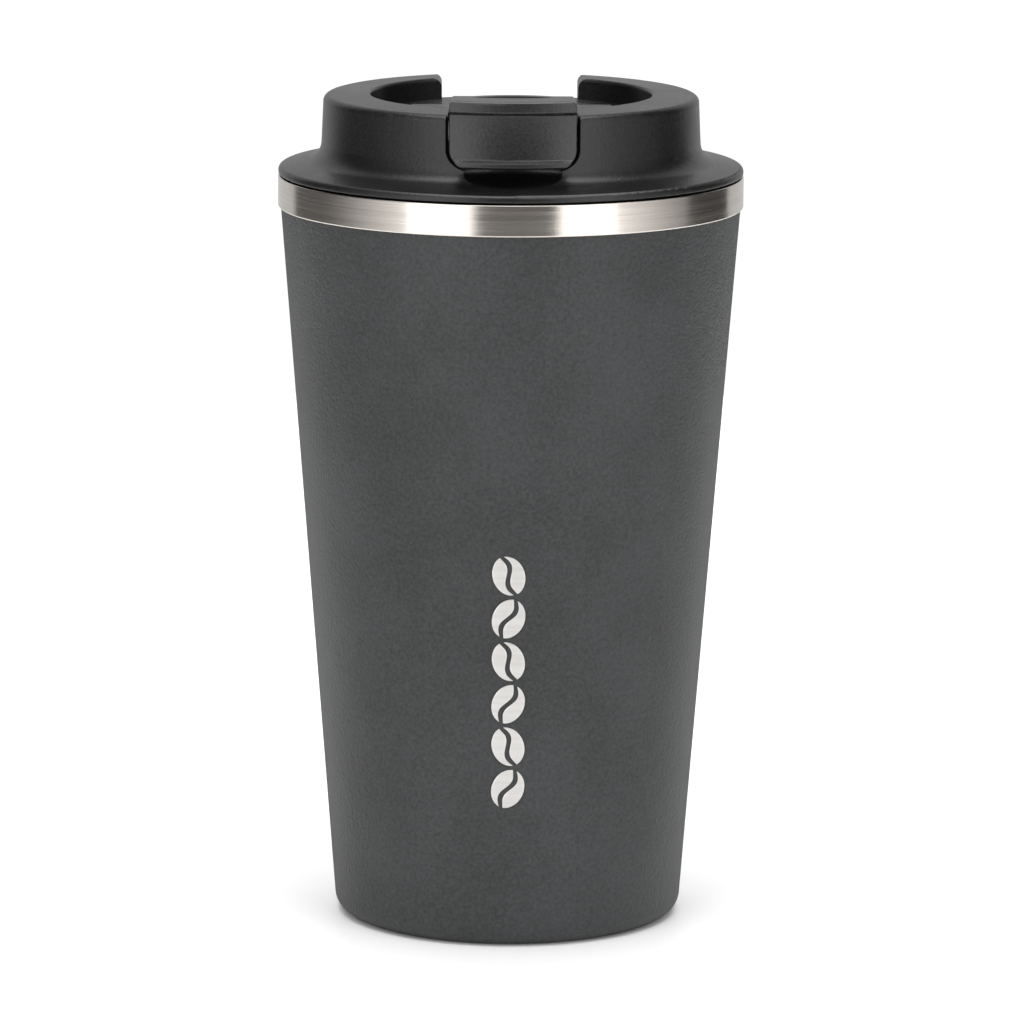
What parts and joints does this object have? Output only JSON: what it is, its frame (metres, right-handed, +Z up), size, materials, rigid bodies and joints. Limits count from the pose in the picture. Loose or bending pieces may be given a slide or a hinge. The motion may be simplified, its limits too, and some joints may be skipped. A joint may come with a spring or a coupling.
{
  "type": "insulated travel mug",
  "caption": "Tapered double-wall steel travel mug with a powder-coated body, a bare steel rim band and a black screw-on lid with a flip lever over the drink hole.",
  "frame": {"origin": "centre of the foot ring, on the surface the mug stands on", "axes": "+Z up along the mug's axis, -Y towards the drinker, where the lever's tab is, +X to the right of someone facing the tab"},
  "size_m": [0.0886, 0.0886, 0.1619],
  "materials": {
    "coated_steel": "fine-texture charcoal powder coat",
    "brushed_steel": "brushed round the mouth",
    "liner_steel": "electropolished, satin",
    "base_steel": "turned satin",
    "copper_foil": "bright copper foil",
    "solder": "dull bead",
    "getter_alloy": "sintered, matte",
    "gasket_silicone": "translucent grey silicone, matte",
    "stopper_silicone": "black silicone, matte",
    "lid_plastic": "fine spark-eroded texture",
    "lever_plastic": "fine spark-eroded texture, slight sheen",
    "plug_plastic": "smooth moulded",
    "pin_steel": "ground wire"
  },
  "bodies": {
    "cup": {"outer_shell": "coated_steel", "rim_band": "brushed_steel", "inner_liner": "liner_steel", "liner_bottom": "liner_steel", "radiation_foil": "copper_foil", "vacuum_base": "liner_steel", "port_solder": "solder", "base_cover": "base_steel", "getter": "getter_alloy", "getter_clip": "liner_steel"},
    "seal": {"lid_gasket": "gasket_silicone"},
    "lid": {"lid_plug": "plug_plastic", "lid_cover": "lid_plastic", "hinge_pin": "pin_steel"},
    "flap": {"flap_lever": "lever_plastic", "flap_stopper": "stopper_silicone"}
  },
  "joints": [
    {"name": "lid_rise", "type": "slide", "parent": "cup", "child": "seal", "axis": [0, 0, 1], "range_m": [0, 0.02]},
    {"name": "lid_turn", "type": "hinge", "parent": "seal", "child": "lid", "pos_m": [0, 0, 0.135], "axis": [0, 0, 1], "range_deg": [0, 900]},
    {"name": "flap_open", "type": "hinge", "parent": "lid", "child": "flap", "pos_m": [0, 0, 0.15485], "axis": [-1, 0, 0], "range_deg": [0, 165]}
  ],
  "couplings": [
    {"joint": "lid_rise", "follows": "lid_turn", "m_per_rad": 0.0012732}
  ]
}
